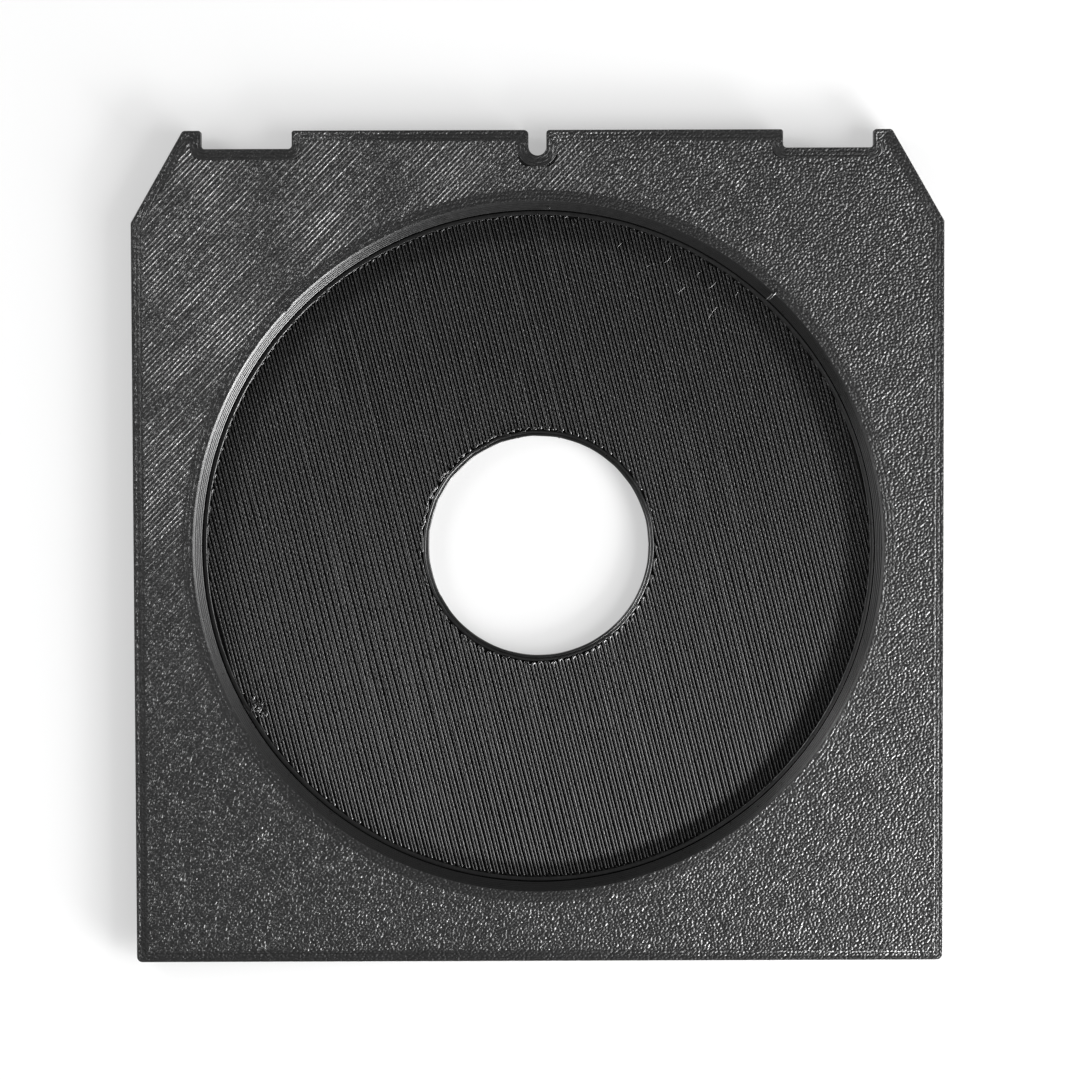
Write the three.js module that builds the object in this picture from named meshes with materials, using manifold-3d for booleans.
// Recessed lens board for a folding technical camera or an enlarger.
//
// One printed piece: a thin flange with a notched and chamfered outline, a
// shallow round recess in its front face with a sloped wall, a round boss
// behind it that carries the recess floor and acts as the light trap, and a
// plain lens hole on the axis.
//
// Frame: millimetres, +Z up. The board lies on its rear boss with its front
// face up. The origin is on the lens axis, in the plane of the rear boss face.
// +Y points to the notched edge, which is the top edge when the board is on
// the camera.

import * as THREE from 'three';
import { mergeVertices } from 'three/addons/utils/BufferGeometryUtils.js';
import Module from 'manifold-3d';

// ---------------------------------------------------------------- dimensions

// Outline of the flange
const BOARD_WIDTH = 96.0;           // along X
const BOARD_HEIGHT = 98.6;          // along Y
const TOP_CHAMFER_X = 6.2;          // long corner chamfers beside the top edge
const TOP_CHAMFER_Y = 10.8;
const CHAMFER_TIP_RADIUS = 0.5;     // softened corners at both ends of a chamfer
const BOTTOM_CORNER_RADIUS = 0.65;

// Two rectangular notches in the top edge
const NOTCH_CENTRE_X = 34.3;        // either side of the lens axis
const NOTCH_WIDTH = 10.7;
const NOTCH_DEPTH = 2.15;
const NOTCH_FILLET = 0.45;
const NOTCH_LIP_RADIUS = 0.3;

// Round-bottomed locating notch in the middle of the top edge
const PIN_NOTCH_WIDTH = 2.1;
const PIN_NOTCH_DEPTH = 3.0;
const PIN_NOTCH_LIP_RADIUS = 0.4;
// Just under a half round, so that its two arcs keep apart
const PIN_NOTCH_FILLET = 0.999 * PIN_NOTCH_WIDTH / 2;

// Thicknesses, as whole 0.2 mm layers
const SHEET_THICKNESS = 1.6;        // flange, and recess floor
const RECESS_DEPTH = 1.2;           // front face down to the recess floor

// Round features, all on the lens axis
const RECESS_RIM_DIAMETER = 81.9;   // at the front face
const RECESS_FLOOR_DIAMETER = 79.7; // at the foot of the sloped wall
const BOSS_DIAMETER = 83.0;         // rear light-trap boss
const BOSS_EDGE_CHAMFER = 0.4;
const LENS_HOLE_DIAMETER = 26.2;

// Heights of the faces above the rear boss face
const RECESS_FLOOR_Z = SHEET_THICKNESS;
const FRONT_FACE_Z = SHEET_THICKNESS + RECESS_DEPTH;
const FLANGE_REAR_Z = RECESS_DEPTH;

// Allowances for clean joins and cuts
const JOIN_OVERLAP = 0.5;           // boss into flange
const CUT_RUN_OUT = 1.0;            // cutters past the faces they open
const MERGE_TOLERANCE = 1e-4;

// Facet counts
const ROUND_SEGMENTS = 180;
const HOLE_SEGMENTS = 120;
const ARC_STEPS = 6;                // per quarter turn of a rounded corner
const MIN_ARC_STEPS = 3;

// ------------------------------------------------------------------- outline

// Corners of the outline, counter-clockwise from the bottom right, each with
// the radius that rounds it. The left half mirrors the right.
function outlineCorners() {
  const right = BOARD_WIDTH / 2;
  const top = BOARD_HEIGHT / 2;
  const notchOuter = NOTCH_CENTRE_X + NOTCH_WIDTH / 2;
  const notchInner = NOTCH_CENTRE_X - NOTCH_WIDTH / 2;
  const notchFloor = top - NOTCH_DEPTH;
  const pinSide = PIN_NOTCH_WIDTH / 2;

  // x, y, radius
  const rightHalf = [
    [right, -top, BOTTOM_CORNER_RADIUS],
    [right, top - TOP_CHAMFER_Y, CHAMFER_TIP_RADIUS],
    [right - TOP_CHAMFER_X, top, CHAMFER_TIP_RADIUS],
    [notchOuter, top, NOTCH_LIP_RADIUS],
    [notchOuter, notchFloor, NOTCH_FILLET],
    [notchInner, notchFloor, NOTCH_FILLET],
    [notchInner, top, NOTCH_LIP_RADIUS],
    [pinSide, top, PIN_NOTCH_LIP_RADIUS],
    [pinSide, top - PIN_NOTCH_DEPTH, PIN_NOTCH_FILLET],
  ];
  const leftHalf = rightHalf.map(([x, y, radius]) => [-x, y, radius]).reverse();
  return [...rightHalf, ...leftHalf].map(([x, y, radius]) => (
    { point: new THREE.Vector2(x, y), radius }));
}

// Points of the arc that rounds one corner, tangent to both its edges.
function cornerArc({ point, radius }, previous, next) {
  const toPrevious = previous.point.clone().sub(point).normalize();
  const toNext = next.point.clone().sub(point).normalize();
  const cosine = THREE.MathUtils.clamp(toPrevious.dot(toNext), -1, 1);
  const halfAngle = Math.acos(cosine) / 2;
  const tangentLength = radius / Math.tan(halfAngle);
  const bisector = toPrevious.clone().add(toNext).normalize();
  const centre = point.clone().addScaledVector(bisector, radius / Math.sin(halfAngle));

  // Direction from the arc's centre to its tangent point on an edge
  const angleTo = (edge) => {
    const spoke = point.clone().addScaledVector(edge, tangentLength).sub(centre);
    return Math.atan2(spoke.y, spoke.x);
  };
  const start = angleTo(toPrevious);
  let sweep = angleTo(toNext) - start;
  // Take the short way round
  if (sweep > Math.PI) sweep -= 2 * Math.PI;
  if (sweep < -Math.PI) sweep += 2 * Math.PI;

  const quarterTurns = Math.abs(sweep) / (Math.PI / 2);
  const steps = Math.max(MIN_ARC_STEPS, Math.round(ARC_STEPS * quarterTurns));
  return Array.from({ length: steps + 1 }, (_, k) => {
    const angle = start + sweep * k / steps;
    return new THREE.Vector2(
      centre.x + radius * Math.cos(angle), centre.y + radius * Math.sin(angle));
  });
}

function roundedOutline(corners) {
  const count = corners.length;
  return corners.flatMap((corner, i) => (
    cornerArc(corner, corners[(i + count - 1) % count], corners[(i + 1) % count])));
}

// -------------------------------------------------------------------- solids

const manifold = await Module();
manifold.setup();

// Makes a closed solid: welds the vertices, then drops the triangles that
// collapse, such as those of a turned shape on its axis.
function toSolid(geometry) {
  geometry.deleteAttribute('normal');
  geometry.deleteAttribute('uv');
  const welded = mergeVertices(geometry, MERGE_TOLERANCE);
  const index = welded.index.array;
  const triangles = [];
  for (let i = 0; i < index.length; i += 3) {
    const [a, b, c] = index.slice(i, i + 3);
    if (a !== b && b !== c && c !== a) triangles.push(a, b, c);
  }
  return new manifold.Manifold(new manifold.Mesh({
    numProp: 3,
    vertProperties: new Float32Array(welded.attributes.position.array),
    triVerts: new Uint32Array(triangles),
  }));
}

function toGeometry(solid) {
  const { vertProperties, triVerts } = solid.getMesh();
  const geometry = new THREE.BufferGeometry();
  geometry.setAttribute('position', new THREE.Float32BufferAttribute(vertProperties, 3));
  geometry.setIndex(new THREE.Uint32BufferAttribute(triVerts, 1));
  geometry.computeVertexNormals();
  return geometry;
}

// Turns a wall of [radius, height] pairs, listed upwards, about the lens axis
// and closes it with flat ends.
function turned(wall, segments) {
  const bottom = wall[0][1];
  const top = wall[wall.length - 1][1];
  const profile = [[0, bottom], ...wall, [0, top]];
  const geometry = new THREE.LatheGeometry(
    profile.map(([radius, z]) => new THREE.Vector2(radius, z)), segments);
  geometry.rotateX(Math.PI / 2);
  return toSolid(geometry);
}

// ----------------------------------------------------------------- the board

function flange() {
  const outline = new THREE.Shape(roundedOutline(outlineCorners()));
  const geometry = new THREE.ExtrudeGeometry(outline, {
    depth: FRONT_FACE_Z - FLANGE_REAR_Z,
    bevelEnabled: false,
  });
  geometry.translate(0, 0, FLANGE_REAR_Z);
  return toSolid(geometry);
}

// Rear boss, reaching into the flange so that the two join.
function boss() {
  const radius = BOSS_DIAMETER / 2;
  return turned([
    [radius - BOSS_EDGE_CHAMFER, 0],
    [radius, BOSS_EDGE_CHAMFER],
    [radius, FLANGE_REAR_Z + JOIN_OVERLAP],
  ], ROUND_SEGMENTS);
}

// Cutter for the recess. Its slope carries on above the front face.
function recess() {
  const floorRadius = RECESS_FLOOR_DIAMETER / 2;
  const rimRadius = RECESS_RIM_DIAMETER / 2;
  const slope = (rimRadius - floorRadius) / RECESS_DEPTH;
  return turned([
    [floorRadius, RECESS_FLOOR_Z],
    [rimRadius + slope * CUT_RUN_OUT, FRONT_FACE_Z + CUT_RUN_OUT],
  ], ROUND_SEGMENTS);
}

// Cutter for the lens hole.
function lensHole() {
  const radius = LENS_HOLE_DIAMETER / 2;
  return turned([
    [radius, -CUT_RUN_OUT],
    [radius, FRONT_FACE_Z + CUT_RUN_OUT],
  ], HOLE_SEGMENTS);
}

const matteBlackPlastic = new THREE.MeshStandardMaterial({
  color: 0x1d1d1e,
  roughness: 0.55,
  metalness: 0.0,
  flatShading: true,
});

const board = flange().add(boss()).subtract(recess()).subtract(lensHole());
const lensBoard = new THREE.Mesh(toGeometry(board), matteBlackPlastic);
lensBoard.name = 'lens_board';

const root = new THREE.Group();
root.name = 'recessed_lens_board';
root.add(lensBoard);

export default root;
